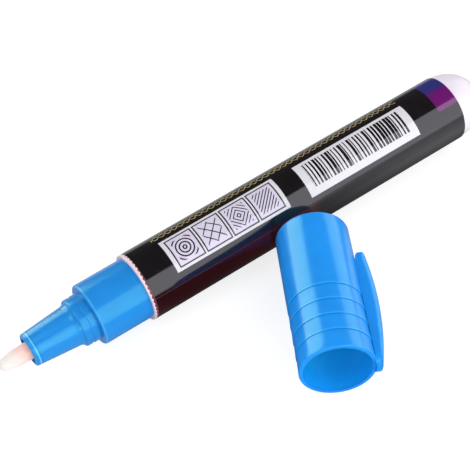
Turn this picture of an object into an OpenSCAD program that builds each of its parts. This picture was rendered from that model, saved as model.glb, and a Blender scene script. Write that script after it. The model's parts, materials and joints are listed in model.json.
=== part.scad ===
// Round-nibbed paint marker for marking queen bees, lying uncapped beside its cap.
// Millimetres, +Z up, the table at Z = 0. The pen lies along X with its nib towards -X.
// Each pen piece is drawn upright on its own axis, Z = 0 at the barrel's front rim and
// the rear end at +Z. Each cap piece is drawn upright with Z = 0 at the mouth.

/* [Barrel] */
// Outside diameter of the barrel under the film
barrel_d = 15.3; // [14:0.1:18]
// Wall thickness of the barrel
barrel_wall = 1.1; // [0.8:0.1:1.5]
// Width of the bare rim in front of the film
rim_w = 0.9; // [0.5:0.1:3]
// Length of the domed rear end behind the film
dome_len = 9; // [6:0.5:12]
// Fullness of the dome, 2 for an ellipse and more for a squarer end
dome_power = 2.3; // [2:0.1:3]

/* [Film sleeve] */
// Length of the printed film round the barrel
film_len = 83.4; // [70:0.1:100]
// Thickness of the film
film_t = 0.15; // [0.1:0.01:0.25]
// Width of the strip where the film laps over itself
lap_w = 5; // [3:0.5:8]
// Angle of the lap's visible edge, from the top towards the cap's side
lap_angle = 70; // [40:1:110]

/* [Front section] */
// Step from the barrel down to the seat that the cap slides over
seat_step = 0.6; // [0.4:0.05:1]
// Length of the seat
seat_len = 11.7; // [9:0.1:15]
// Rounding of the seat's front edge
seat_round = 0.5; // [0.2:0.1:1]
// Width of the groove between the seat and the sealing ring
neck_w = 0.4; // [0.3:0.1:1]
// Depth of that groove below the sealing ring
neck_depth = 0.2; // [0.1:0.05:0.5]
// Step from the seat down to the ring that the cap's liner seals on
ring_step = 1.55; // [1.4:0.05:2]
// Length of the sealing ring
ring_len = 1.35; // [1:0.05:3]
// Chamfer on the sealing ring's front edge
ring_chamfer = 0.1; // [0.05:0.01:0.1]
// Width of the groove between the sealing ring and the collar
groove_w = 0.5; // [0.3:0.1:0.8]
// Depth of that groove below the collar
groove_depth = 0.1; // [0.1:0.05:0.4]
// Step from the sealing ring down to the collar
collar_step = 0.05; // [0.02:0.01:0.1]
// Length of the collar
collar_len = 1.4; // [1:0.1:2.5]
// Rounding of the collar's front edge
collar_round = 0.5; // [0.2:0.05:0.6]
// Step from the collar down to the cone
collar_shoulder = 0.9; // [0.75:0.05:1.1]
// Radius of the hollow fillet between the collar and the cone
cone_fillet = 2.4; // [0.8:0.1:3]
// Diameter of the cone at its front
cone_front_d = 7.5; // [6.8:0.1:8]
// Length of the cone
cone_len = 11.05; // [8:0.05:14]
// Rounding of the cone's front edge
cone_round = 0.5; // [0.1:0.05:0.6]
// Diameter of the open cup round the nib
cup_d = 5.7; // [5:0.1:6.2]
// Depth of that cup
cup_depth = 2.4; // [1:0.1:4]
// Length of the plug inside the barrel
plug_len = 9; // [6:0.5:12]
// Wall thickness of the plug round the valve
plug_wall = 1.5; // [1.2:0.1:1.8]

/* [Nib] */
// Diameter of the nib
nib_d = 3.9; // [3:0.1:4.4]
// Length of nib that shows in front of the cone
nib_show = 6.9; // [5:0.1:7.2]
// Length of the tapered part of the nib
nib_taper_len = 3.9; // [2.5:0.1:4.5]
// Radius of the nib's tip
nib_tip_r = 1.2; // [0.8:0.05:1.4]
// Travel of the nib when it is pressed
nib_travel = 2; // [1:0.1:2.5]

/* [Valve] */
// Length of the valve body
valve_len = 16; // [14:0.5:18]
// Wall thickness of the valve body
valve_wall = 1.4; // [1.2:0.1:1.6]
// Distance of the valve body's front behind the seat's front
valve_inset = 2.2; // [1.5:0.1:4]
// Thickness of the wall that holds the valve's seat
seat_wall = 1.6; // [1.2:0.1:2]
// Diameter of the valve stem's rod
stem_d = 2.2; // [1.8:0.1:2.4]
// Diameter of the hole in the valve's seat
port_d = 3.4; // [3:0.1:3.8]
// Diameter of the valve stem's head
head_d = 5.2; // [4.6:0.1:5.6]
// Length of the cylindrical part of the head
head_len = 1.2; // [0.8:0.1:1.6]
// Length of the closed spring
spring_len = 8; // [6:0.5:9]
// Mean diameter of the spring's coils
spring_d = 3.8; // [3.4:0.1:4.4]
// Diameter of the spring's wire
wire_d = 0.4; // [0.3:0.05:0.5]
// Number of turns of the spring
spring_turns = 6; // [4:1:8]
// Thickness of the spring's retainer
retainer_t = 2.2; // [1.5:0.1:3]
// Width of the ledge that the retainer stands on
retainer_ledge = 0.3; // [0.2:0.1:0.6]
// Number of ink holes in the retainer
ink_holes = 6; // [3:1:8]
// Diameter of each ink hole
ink_hole_d = 1.2; // [0.8:0.1:1.4]

/* [Mixing ball] */
// Diameter of the steel ball that stirs the paint
ball_d = 6; // [4:0.5:8]
// Distance of the resting ball's middle behind the plug
ball_rest = 10; // [6:1:30]

/* [Cap] */
// Wall thickness of the cap at its mouth
cap_wall = 0.84; // [0.7:0.02:1.2]
// Room in front of the nib inside the closed cap
nib_room = 0.8; // [0.4:0.1:3]
// Thickness of the cap's closed end
cap_end_wall = 1.2; // [0.8:0.1:1.4]
// Rounding of the closed end's edge
cap_round = 0.9; // [0.4:0.1:1.5]
// Depth of the mouth's bore, past the seat
cap_bore_extra = 0.9; // [0.5:0.1:1.5]
// Radial step at each grip ring
grip_step = 0.15; // [0.05:0.01:0.25]
// Distance of the first grip ring from the mouth
grip_first = 4.4; // [3:0.1:6]
// Distance from one grip ring to the next
grip_pitch = 3.9; // [3:0.1:5]
// Number of grip rings
grip_rings = 4; // [2:1:5]
// Wall thickness of the sealing liner in the cap
liner_wall = 1; // [0.8:0.1:1.2]
// Thickness of the liner's closed end
liner_end = 0.7; // [0.5:0.1:0.8]
// Length of sealing ring that the liner covers when the cap is on
liner_grip = 0.6; // [0.4:0.1:0.8]

/* [Clip] */
// Width of the clip
clip_w = 5; // [3.2:0.1:6]
// Distance of the clip's nose from the cap's closed end
clip_setback = 8; // [3:0.1:10]
// How far the clip's tip stands out past the mouth
tip_reach = 0.4; // [0:0.1:0.8]
// Greatest height of the clip above the cap's wall
clip_height = 2.9; // [2.5:0.05:4.5]
// Distance of the clip's highest point from the mouth
clip_peak = 16.5; // [14:0.5:20]
// Radius of the clip's bowed outer face
clip_bow_r = 80; // [65:1:120]
// Rounding of the clip's outer edges
clip_edge = 1.5; // [0.5:0.1:1.6]
// Rounding of the clip's four corners in plan
clip_corner = 1; // [0.5:0.1:1.5]
// Rounding of the clip's tip at the mouth, seen from the side
tip_round = 0.8; // [0.3:0.1:0.9]
// Rounding of the clip's nose at the bridge, seen from the side
nose_round = 1.35; // [0.8:0.05:1.4]
// Slit between the clip and the cap's wall
clip_gap = 0.1; // [0.08:0.02:0.3]
// Length of the bridge that joins the clip to the cap
bridge_len = 7.5; // [4:0.5:10]

/* [Layout] */
// Direction from the cap's mouth to its closed end, in plan
cap_azimuth = 62; // [40:1:80]
// Distance of the cap's closed end behind the barrel's front rim
cap_end_x = 37.7; // [25:0.1:60]
// Gap between the cap's closed end and the pen
cap_rest_gap = 0.4; // [0.2:0.1:3]
// Angle of the clip below the horizontal, as the cap lies
clip_roll = 2; // [-10:1:15]

/* [Fits] */
// Gap between pieces that are pressed together
press_gap = 0.02; // [0.01:0.01:0.04]
// Radial clearance of the nib in its bore
nib_gap = 0.1; // [0.05:0.01:0.15]
// Clearance of the cap's bore round the seat
cap_gap = 0.08; // [0.05:0.01:0.15]
// Clearance of the liner round the sealing ring
liner_gap = 0.05; // [0.02:0.01:0.1]
// Clearance of the valve's head from its seat, and of the stem in its guide
valve_gap = 0.1; // [0.05:0.01:0.2]
// Gap under the resting ball
ball_gap = 0.05; // [0.02:0.01:0.1]

/* [Hidden] */
$fn = 96;

// Overlap that keeps cuts clean
cut = 1;

// Barrel and film
barrel_r = barrel_d / 2;
bore_r = barrel_r - barrel_wall;
film_in_r = barrel_r + press_gap;
film_r = film_in_r + film_t;
film_end = rim_w + film_len;
pen_end = film_end + dome_len;

// Front section, counted forwards from the barrel's rim
ring_rear = seat_len + neck_w;
ring_front = ring_rear + ring_len;
collar_rear = ring_front + groove_w;
collar_front = collar_rear + collar_len;
front_len = collar_front + cone_len;
seat_r = barrel_r - seat_step;
ring_r = seat_r - ring_step;
collar_r = ring_r - collar_step;
cone_base_r = collar_r - collar_shoulder;
cone_front_r = cone_front_d / 2;
plug_r = bore_r - press_gap;
plug_chamfer = 0.5;

// Nib
nib_r = nib_d / 2;
nib_tip = front_len + nib_show;
taper_run = nib_taper_len - nib_tip_r;
tip_angle = acos(nib_tip_r / norm([nib_r, taper_run])) - atan2(taper_run, nib_r);

// Valve: the body's front wall stands against the end of its chamber
chamber_r = plug_r - plug_wall;
valve_r = chamber_r - press_gap;
valve_front = valve_inset - seat_len;
valve_end = valve_front + valve_len;
cage_r = valve_r - valve_wall;
retainer_r = cage_r + retainer_ledge - press_gap;
port_r = port_d / 2;
stem_r = stem_d / 2;
head_r = head_d / 2;
head_cone = head_r - stem_r;
seat_face = valve_front + seat_wall;
head_front = seat_face + valve_gap;
spring_front = head_front + head_len;
spring_rear = spring_front + spring_len;
stem_end = spring_rear + retainer_t / 2;
nib_rear = valve_front - nib_travel - valve_gap;

// Ball
ball_r = ball_d / 2;

// Cap
cap_bore_r = seat_r + cap_gap;
cap_r = cap_bore_r + cap_wall;
cap_len = nib_tip + nib_room + liner_end + cap_end_wall;
cap_bore_len = seat_len + cap_bore_extra;
liner_in_r = ring_r + liner_gap;
liner_r = liner_in_r + liner_wall;
liner_room_r = liner_r + press_gap;
liner_mouth = ring_front - liner_grip;
liner_top = cap_len - cap_end_wall;
clip_len = cap_len - clip_setback;
clip_slit_r = cap_r + clip_gap;
clip_peak_r = cap_r + clip_height;
clip_bow_x = clip_peak_r - clip_bow_r;
mouth_round = 0.25;

// The clip's ends are rounded a little wider than the round's distance to their faces, for a clear edge
overround = 1.03;
clip_tip = clip_round(tip_round - tip_reach, tip_round);
clip_nose = clip_round(clip_len - nose_round, nose_round);

// Where the pen and the cap lie, with the origin under the middle of the whole layout
cap_end_y = -(film_r + cap_rest_gap) - cap_r * cos(cap_azimuth);
cap_mouth_x = cap_end_x - cap_len * cos(cap_azimuth);
cap_mouth_y = cap_end_y - cap_len * sin(cap_azimuth);
mid_x = (pen_end - nib_tip) / 2;
clip_reach = clip_tip.x * cos(cap_azimuth) - clip_tip.y * sin(cap_azimuth) + overround * tip_round;
cap_reach = max(cap_r * cos(cap_azimuth), clip_reach);
mid_y = (film_r + cap_mouth_y - cap_reach) / 2;

// Colours
white_plastic = "whitesmoke";
film_black = "#1b1a1f";
blue_plastic = "dodgerblue";
felt = "seashell";
clear_plastic = "gainsboro";
steel = "silver";

// Points of an arc round c, from angle a0 to a1
function arc(c, r, a0, a1, n = 6) =
    [for (i = [0:n]) let (a = a0 + (a1 - a0) * i / n) c + r * [cos(a), sin(a)]];

// Points of the dome's outline from its shoulder to its end: a superellipse
function dome(r, z, len, n = 18) =
    [for (i = [0:n]) let (a = 90 * i / n)
        [r * pow(cos(a), 2 / dome_power), z + len * pow(sin(a), 2 / dome_power)]];

// Middle of a round of radius r at an end of the clip, z from the mouth: it lies r inside the bow
function clip_round(z, r) =
    [clip_bow_x + sqrt(pow(clip_bow_r - r, 2) - pow(z - clip_peak, 2)), z];

// Points of a hollow fillet of radius r from a shoulder at height z down to the radius base
function fillet(base, z, r, step) =
    let (start = max(90, acos((step - r) / r)))
    arc([base + r, z - r * sin(start)], r, start, 180);

// Puts an upright pen piece on the table, its rear end at +X
module on_pen() {
    translate([-mid_x, -mid_y, film_r]) rotate([0, 90, 0]) children();
}

// Puts an upright cap piece on the table beside the pen
module on_cap() {
    translate([cap_mouth_x - mid_x, cap_mouth_y - mid_y, cap_r])
        rotate([0, 0, cap_azimuth]) rotate([0, 90, 0]) children();
}

// A plain hole along Z from z0 to z1
module hole(r, z0, z1) {
    translate([0, 0, z0]) cylinder(r = r, h = z1 - z0);
}

// White tube with a moulded round rear end
module barrel() {
    inner_end = pen_end - barrel_wall;
    rim_round = 0.2;
    color(white_plastic) on_pen() difference() {
        rotate_extrude() polygon(concat(
            [[0, 0]],
            arc([film_r - rim_round, rim_round], rim_round, -90, 0),
            [[film_r, rim_w - press_gap], [barrel_r, rim_w - press_gap]],
            dome(barrel_r, film_end, dome_len)));
        hole(bore_r, -cut, film_end);
        rotate_extrude() polygon(concat(
            [[0, film_end - cut], [bore_r, film_end - cut]],
            dome(bore_r, film_end, inner_end - film_end)));
    }
}

// Printed film round the barrel, lapped over itself along one edge
module film_sleeve() {
    lap_span = lap_w / film_r * 180 / PI;
    color(film_black) on_pen() {
        difference() {
            hole(film_r, rim_w, film_end);
            hole(film_in_r, rim_w - cut, film_end + cut);
        }
        rotate([0, 0, 180 + lap_angle - lap_span]) rotate_extrude(angle = lap_span)
            translate([film_r - film_t / 2, rim_w]) square([film_t, film_len]);
    }
}

// Outline of the front section, from the plug's rear end to the cone's front
function front_outline() = concat(
    [[0, plug_len], [plug_r - plug_chamfer, plug_len], [plug_r, plug_len - plug_chamfer]],
    [[plug_r, 0], [seat_r, 0]],
    arc([seat_r - seat_round, seat_round - seat_len], seat_round, 0, -90),
    [[ring_r - neck_depth, -seat_len], [ring_r - neck_depth, -ring_rear]],
    [[ring_r, -ring_rear], [ring_r, ring_chamfer - ring_front]],
    [[ring_r - ring_chamfer, -ring_front], [collar_r - groove_depth, -ring_front]],
    [[collar_r - groove_depth, -collar_rear], [collar_r, -collar_rear]],
    arc([collar_r - collar_round, collar_round - collar_front], collar_round, 0, -90),
    fillet(cone_base_r, -collar_front, cone_fillet, collar_shoulder - collar_round),
    arc([cone_front_r - cone_round, cone_round - front_len], cone_round, 0, -90),
    [[0, -front_len]]);

// Nib holder: cap seat, sealing ring, collar, cone with an open cup, and a plug in the barrel
module front_section() {
    color(blue_plastic) on_pen() difference() {
        rotate_extrude() polygon(front_outline());
        hole(cup_d / 2, -front_len - cut, cup_depth - front_len);
        hole(nib_r + nib_gap, -front_len, plug_len);
        hole(chamber_r, valve_front, plug_len + cut);
    }
}

// Felt nib: a rod with a tapered, rounded tip
module nib() {
    color(felt) on_pen() rotate_extrude() polygon(concat(
        [[0, nib_rear], [nib_r, nib_rear], [nib_r, nib_taper_len - nib_tip]],
        arc([0, nib_tip_r - nib_tip], nib_tip_r, -tip_angle, -90, 8)));
}

// Cup with the valve's seat in its front wall, open to the paint at its rear
module valve_body() {
    color(clear_plastic) on_pen() difference() {
        hole(valve_r, valve_front, valve_end);
        hole(port_r, valve_front - cut, valve_end);
        translate([0, 0, seat_face - head_cone])
            cylinder(r1 = stem_r + valve_gap, r2 = head_r + valve_gap, h = head_cone);
        hole(cage_r, seat_face, valve_end + cut);
        hole(cage_r + retainer_ledge, spring_rear, valve_end + cut);
    }
}

// Rod that the nib pushes, with a conical head that closes the port
module valve_stem() {
    color(white_plastic) on_pen() {
        hole(stem_r, nib_rear, stem_end);
        translate([0, 0, head_front - head_cone]) cylinder(r1 = stem_r, r2 = head_r, h = head_cone);
        hole(head_r, head_front, spring_front);
    }
}

// One ring of points round the spring's wire at a share t of its length
function wire_ring(t, sides) =
    let (a = 360 * spring_turns * t, wire_r = wire_d / 2,
         z = spring_front + wire_r + (spring_len - wire_d) * t)
    [for (k = [0:sides - 1]) let (b = 360 * k / sides, r = spring_d / 2 + wire_r * cos(b))
        [r * cos(a), r * sin(a), z + wire_r * sin(b)]];

// Helical steel spring between the stem's head and the retainer
module valve_spring() {
    sides = 8;
    rings = 16 * spring_turns;
    points = [for (i = [0:rings]) each wire_ring(i / rings, sides)];
    walls = [for (i = [0:rings - 1], k = [0:sides - 1]) let (n = (k + 1) % sides)
        [i * sides + k, (i + 1) * sides + k, (i + 1) * sides + n, i * sides + n]];
    front = [for (k = [0:sides - 1]) k];
    rear = [for (k = [sides - 1:-1:0]) rings * sides + k];
    color(steel) on_pen() polyhedron(points, concat([front, rear], walls), convexity = 10);
}

// Perforated disc that holds the spring and guides the stem's tail
module spring_retainer() {
    color(clear_plastic) on_pen() difference() {
        hole(retainer_r, spring_rear, spring_rear + retainer_t);
        hole(stem_r + valve_gap, spring_rear - cut, spring_rear + retainer_t + cut);
        for (i = [0:ink_holes - 1])
            rotate([0, 0, 360 * i / ink_holes])
                translate([(retainer_r + stem_r) / 2, 0, 0])
                    hole(ink_hole_d / 2, spring_rear - cut, spring_rear + retainer_t + cut);
    }
}

// Loose steel ball at the bottom of the barrel
module mixing_ball() {
    color(steel) on_pen()
        translate([bore_r - ball_r - ball_gap, 0, plug_len + ball_rest]) sphere(r = ball_r);
}

// Outline of the cap from the mouth to the closed end: it tapers to each grip ring and steps out again there
function cap_outline() = concat(
    [[0, 0]],
    arc([cap_r - mouth_round, mouth_round], mouth_round, -90, 0),
    [for (i = [0:grip_rings - 1]) let (z = grip_first + i * grip_pitch)
        each [[cap_r - grip_step, z], [cap_r, z]]],
    arc([cap_r - cap_round, cap_len - cap_round], cap_round, 0, 90),
    [[0, cap_len]]);

// Section of the clip's bow: outer edges rounded, inner side buried in the cap's wall
module clip_section(depth) {
    inner = clip_bow_r - depth;
    half = clip_w / 2;
    translate([inner, -half]) square([depth - clip_edge, clip_w]);
    translate([inner, clip_edge - half]) square([depth, clip_w - 2 * clip_edge]);
    for (side = [-1, 1])
        translate([clip_bow_r - clip_edge, side * (half - clip_edge)]) circle(r = clip_edge);
}

// Clip in plan, with four small rounded corners
module clip_plan() {
    half = clip_w / 2;
    corner_x = half - clip_corner;
    corner_z = [clip_corner - tip_reach, clip_len - clip_corner];
    translate([-half, corner_z[0]]) square([clip_w, corner_z[1] - corner_z[0]]);
    translate([-corner_x, -tip_reach]) square([2 * corner_x, clip_len + tip_reach]);
    for (side = [-1, 1], z = corner_z)
        translate([side * corner_x, z]) circle(r = clip_corner);
}

// A corner that a round of radius r takes off, between two directions from the round's middle
module corner_cut(middle, r, way, other) {
    translate(middle) difference() {
        polygon(2 * r * [[0, 0], way, way + other, other]);
        circle(r = overround * r);
    }
}

// What the roundings take off the clip's two ends, seen from the side
module clip_end_cuts() {
    tip_lean = atan2(clip_tip.y - clip_peak, clip_tip.x - clip_bow_x);
    nose_lean = atan2(clip_nose.y - clip_peak, clip_nose.x - clip_bow_x);
    corner_cut(clip_tip, tip_round, [cos(tip_lean), sin(tip_lean)], [0, -1]);
    corner_cut(clip_nose, nose_round, [cos(nose_lean), sin(nose_lean)], [0, 1]);
    corner_cut(clip_nose, nose_round, [-1, 0], [0, 1]);
}

// Bowed clip along +X of an upright cap, free at the mouth and bridged near the closed end
module clip() {
    root_r = cap_bore_r + (cap_r - cap_bore_r) / 2;
    difference() {
        intersection() {
            translate([clip_bow_x, 0, clip_peak]) rotate([90, 0, 0])
                rotate([0, 0, -45]) rotate_extrude(angle = 90, $fn = 360)
                    clip_section(clip_peak_r - root_r + cut);
            rotate([90, 0, 90]) linear_extrude(height = clip_peak_r + cut) clip_plan();
        }
        translate([0, clip_w, 0]) rotate([90, 0, 0]) linear_extrude(height = 2 * clip_w) clip_end_cuts();
        hole(clip_slit_r, -cut, clip_len - bridge_len);
        hole(root_r, -cut, cap_len);
    }
}

// Cap with grip rings, an open mouth and a moulded clip
module cap_shell() {
    color(blue_plastic) on_cap() rotate([0, 0, clip_roll - 90]) {
        difference() {
            rotate_extrude() polygon(cap_outline());
            hole(cap_bore_r, -cut, cap_bore_len);
            hole(liner_room_r, 0, liner_top);
        }
        clip();
    }
}

// Inner cup that seals on the front section's ring
module cap_liner() {
    color(white_plastic) on_cap() difference() {
        hole(liner_r, liner_mouth, liner_top);
        hole(liner_in_r, liner_mouth - cut, liner_top - liner_end);
    }
}

barrel();
film_sleeve();
front_section();
nib();
valve_body();
valve_stem();
valve_spring();
spring_retainer();
mixing_ball();
cap_shell();
cap_liner();
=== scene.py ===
"""Looks of a round-nibbed paint marker that lies beside its cap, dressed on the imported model.

Every piece is a surface worked out with numpy in the model's own frame, in metres: +X runs to the
pen's rear end, +Y away from the cap and +Z up from the table.
"""

import json
import math

import bpy
import numpy as np
from bpy.props import FloatProperty, FloatVectorProperty, IntProperty, PointerProperty
from mathutils import Matrix, Vector


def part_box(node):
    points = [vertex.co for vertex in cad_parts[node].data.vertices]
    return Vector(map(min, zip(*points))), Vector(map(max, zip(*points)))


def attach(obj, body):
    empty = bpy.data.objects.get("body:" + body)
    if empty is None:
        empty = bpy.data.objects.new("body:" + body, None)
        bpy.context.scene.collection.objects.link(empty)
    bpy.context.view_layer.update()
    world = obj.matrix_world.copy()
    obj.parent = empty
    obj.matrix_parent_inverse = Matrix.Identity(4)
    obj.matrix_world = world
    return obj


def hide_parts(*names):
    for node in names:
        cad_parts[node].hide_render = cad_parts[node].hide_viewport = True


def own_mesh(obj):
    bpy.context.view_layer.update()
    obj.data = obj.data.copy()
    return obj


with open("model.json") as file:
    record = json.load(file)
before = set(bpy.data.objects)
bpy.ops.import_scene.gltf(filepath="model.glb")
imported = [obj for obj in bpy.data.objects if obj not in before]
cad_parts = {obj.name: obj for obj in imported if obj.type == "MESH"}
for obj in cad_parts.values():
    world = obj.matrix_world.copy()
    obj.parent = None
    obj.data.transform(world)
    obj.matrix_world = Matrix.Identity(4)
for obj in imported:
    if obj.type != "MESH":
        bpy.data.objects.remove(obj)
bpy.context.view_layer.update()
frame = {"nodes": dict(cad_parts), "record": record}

bl_info = {
    "name": "Paint Marker",
    "version": (1, 0, 0),
    "blender": (4, 5, 0),
    "location": "View3D > Sidebar > Paint Marker",
    "description": "Dresses a round-nibbed paint marker and its cap",
    "category": "Add Mesh",
}

MM = 0.001
TURN = 2 * math.pi
GRIP_RINGS = 4
CRISP = 0.04  # Half the blur at a printed edge, in millimetres


def corners(node):
    """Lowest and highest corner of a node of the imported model."""
    low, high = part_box(node)
    return np.array(low), np.array(high)


class Axis:
    """A line that round pieces stand on: a start, the way along it, up, and the way to its side.

    Point (r, s, a) lies s along the line and r from it, at an angle a from the top to the side.
    """

    def __init__(self, start, along):
        self.start = np.array(start, float)
        self.along = np.array(along, float) / np.linalg.norm(along)
        self.up = np.array([0.0, 0.0, 1.0])
        self.side = np.cross(self.along, self.up)

    def point(self, r, s, a):
        r, s, a = np.broadcast_arrays(r, s, a)
        radial = np.cos(a)[..., None] * self.up + np.sin(a)[..., None] * self.side
        return self.start + s[..., None] * self.along + r[..., None] * radial


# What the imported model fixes: both axes, and the main lengths and radii along them
BARREL_LOW, BARREL_HIGH = corners("barrel")
FILM_LOW, FILM_HIGH = corners("film_sleeve")
FRONT_LOW, FRONT_HIGH = corners("front_section")
NIB_LOW, NIB_HIGH = corners("nib")
SPRING_LOW, SPRING_HIGH = corners("valve_spring")
CAP_HIGH = corners("cap_shell")[1]
MOUNTS = {mount["name"]: mount for mount in frame["record"]["mounts"]}
MOUTH = MOUNTS["cap_mouth"]
SEAT = MOUNTS["cap_seat"]

PEN = Axis([BARREL_LOW[0], (BARREL_LOW[1] + BARREL_HIGH[1]) / 2, (BARREL_LOW[2] + BARREL_HIGH[2]) / 2], [1, 0, 0])
CAP = Axis(MOUTH["pos_m"], [-part for part in MOUTH["axis"]])

FILM_R = (BARREL_HIGH[2] - BARREL_LOW[2]) / 2
FILM_FRONT = FILM_LOW[0] - PEN.start[0]
FILM_END = FILM_HIGH[0] - PEN.start[0]
PEN_END = BARREL_HIGH[0] - PEN.start[0]
SEAT_R = SEAT["dims"]["r_mm"] * MM
FRONT_LEN = PEN.start[0] - FRONT_LOW[0]
PLUG_LEN = FRONT_HIGH[0] - PEN.start[0]
NIB_R = (NIB_HIGH[2] - NIB_LOW[2]) / 2
NIB_TIP = NIB_LOW[0] - PEN.start[0]
NIB_REAR = NIB_HIGH[0] - PEN.start[0]
SPRING_R = (SPRING_HIGH[2] - SPRING_LOW[2]) / 2
SPRING_FRONT = SPRING_LOW[0] - PEN.start[0]
SPRING_REAR = SPRING_HIGH[0] - PEN.start[0]
CAP_R = CAP_HIGH[2] - CAP.start[2]
CAP_BORE_R = MOUTH["dims"]["r_mm"] * MM
CAP_BORE_LEN = MOUTH["dims"]["length_mm"] * MM


def reach(node, axis):
    """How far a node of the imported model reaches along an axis, nearest and farthest."""
    mesh = frame["nodes"][node].data
    place = np.empty(3 * len(mesh.vertices), np.float32)
    mesh.vertices.foreach_get("co", place)
    along = (place.reshape(-1, 3) - axis.start) @ axis.along
    return float(along.min()), float(along.max())


CAP_LEN = reach("cap_shell", CAP)[1]
LINER_MOUTH, LINER_TOP = reach("cap_liner", CAP)


def linear(colour):
    """Linear values of a colour given in display values from 0 to 255."""
    share = np.array(colour, float) / 255
    return tuple(np.where(share <= 0.04045, share / 12.92, ((share + 0.055) / 1.055) ** 2.4).tolist())


def size(name, millimetres, text):
    """A length that is written in millimetres and kept in metres."""
    return FloatProperty(name=name, description=text, default=millimetres * MM, min=0, unit="LENGTH", precision=5)


def angle(name, degrees, text):
    """An angle that is written in degrees."""
    return FloatProperty(name=name, description=text, default=math.radians(degrees), subtype="ANGLE")


def tint(name, colour, text):
    """A colour that is written in display values from 0 to 255."""
    return FloatVectorProperty(
        name=name, description=text, default=linear(colour), size=3, min=0, max=1, subtype="COLOR")


class PenSizes(bpy.types.PropertyGroup):
    """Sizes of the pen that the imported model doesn't name."""

    wall: size("Barrel wall", 1.1, "Wall thickness of the barrel")
    rim_round: size("Rim edge", 0.2, "Rounding of the barrel's front rim")
    film: size("Film", 0.15, "Thickness of the printed film")
    tooth_pitch: size("Tooth pitch", 1.1, "Distance between the teeth of the film's cut front edge")
    tooth_depth: size("Tooth depth", 0.28, "Depth of those teeth")
    tooth_line: size("Tooth line", 0.34, "Distance of the teeth's tips from the film's front edge, at the top")
    tooth_lean: size("Tooth lean", 0.34, "How much farther forward the teeth reach on the cap's side")
    press: size("Press gap", 0.02, "Gap between pieces that are pressed together")
    lap: size("Lap", 5, "Width of the strip where the film laps over itself")
    lap_edge: angle("Lap edge", 70, "Place of the lap's visible edge, from the top towards the cap's side")
    dome_power: FloatProperty(name="Dome fullness", description="2 is an ellipse, more is squarer", default=2.1)
    seat_round: size("Seat edge", 0.5, "Rounding of the cap seat's front edge")
    seat_len: size("Seat length", 11.7, "Length of the cap seat")
    neck: size("Neck width", 0.4, "Width of the groove between the seat and the sealing ring")
    neck_depth: size("Neck depth", 0.2, "Depth of that groove below the sealing ring")
    ring_step: size("Ring step", 1.55, "Step from the seat down to the sealing ring")
    ring_len: size("Ring length", 1.35, "Length of the sealing ring")
    groove: size("Groove width", 0.5, "Width of the groove between the sealing ring and the collar")
    groove_depth: size("Groove depth", 0.1, "Depth of that groove below the collar")
    collar_step: size("Collar step", 0.05, "Step from the sealing ring down to the collar")
    collar_len: size("Collar length", 1.4, "Length of the collar")
    ring_chamfer: size("Ring chamfer", 0.1, "Chamfer on the sealing ring's front edge")
    collar_round: size("Collar edge", 0.5, "Rounding of the collar's front edge")
    collar_shoulder: size("Collar shoulder", 0.9, "Step from the collar down to the cone")
    cone_fillet: size("Cone fillet", 2.4, "Radius of the hollow fillet between the collar and the cone")
    cone_front: size("Cone front", 3.75, "Radius of the cone at its front")
    cone_round: size("Cone edge", 0.5, "Rounding of the cone's front edge")
    lip_line: size("Lip line", 0.95, "From the cone's front edge to the light line behind it")
    cup: size("Cup", 2.85, "Radius of the open cup round the nib")
    cup_depth: size("Cup depth", 2.4, "Depth of that cup")
    nib_gap: size("Nib gap", 0.1, "Clearance of the nib in its bore")
    plug_wall: size("Plug wall", 1.5, "Wall of the plug round the valve")
    plug_chamfer: size("Plug chamfer", 0.5, "Chamfer on the plug's rear edge")
    valve_inset: size("Valve inset", 2.2, "Distance of the valve's chamber behind the seat's front")
    nib_taper: size("Nib taper", 3.9, "Length of the nib's tapered part")
    nib_tip: size("Nib tip", 1.4, "Radius of the nib's tip")
    wire: size("Spring wire", 0.2, "Radius of the valve spring's wire")
    turns: IntProperty(name="Spring turns", description="Turns of the valve's spring", default=6, min=1)


class CapSizes(bpy.types.PropertyGroup):
    """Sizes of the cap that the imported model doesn't name."""

    end_round: size("End edge", 0.9, "Rounding of the closed end's edge")
    lip_round: size("Lip edge", 0.25, "Rounding of the mouth's edge")
    grip_step: size("Grip step", 0.15, "Radial step at each grip ring")
    grip_first: size("First grip ring", 4.4, "Distance of the first grip ring from the mouth")
    grip_pitch: size("Grip pitch", 3.9, "Distance from one grip ring to the next")
    liner_r: size("Liner", 6.55, "Outer radius of the sealing liner")
    liner_wall: size("Liner wall", 1, "Wall thickness of the liner")
    liner_end: size("Liner end", 0.7, "Thickness of the liner's closed end")
    clip_w: size("Clip width", 5, "Width of the clip")
    clip_setback: size("Clip setback", 8.25, "Distance of the clip's nose from the cap's closed end")
    clip_height: size("Clip height", 2.9, "Greatest height of the clip above the cap's wall")
    clip_peak: size("Clip peak", 16.5, "Distance of the clip's highest point from the mouth")
    clip_bow: size("Clip bow", 80, "Radius of the clip's bowed outer face")
    clip_edge: size("Clip edge", 1.5, "Rounding of the clip's outer edges where it is high")
    clip_corner: size("Clip corner", 1.3, "Rounding of the clip's four corners in plan")
    tip_round: size("Clip tip", 1.1, "Rounding of the clip's tip, seen from the side")
    tip_run: size("Clip tip run", 1.6, "Length of that rounding along the cap")
    tip_reach: size("Clip tip reach", 0.65, "How far the clip's tip stands out past the mouth")
    nose_round: size("Clip nose", 1.25, "Rounding of the clip's nose, seen from the side")
    nose_run: size("Clip nose run", 1.8, "Length of that rounding along the cap")
    tip_corner: size("Clip tip corner", 2.2, "Length of the tip's rounded corners in plan, along the cap")
    nose_corner: size("Clip nose corner", 0.25, "Length of the nose's rounded corners in plan, along the cap")
    clip_gap: size("Clip slit", 0.02, "Slit between the clip and the cap's wall")
    bridge: size("Clip bridge", 7.5, "Length of the bridge that joins the clip to the cap")
    clip_roll: angle("Clip roll", 2, "Angle of the clip below the horizontal, as the cap lies")


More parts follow.
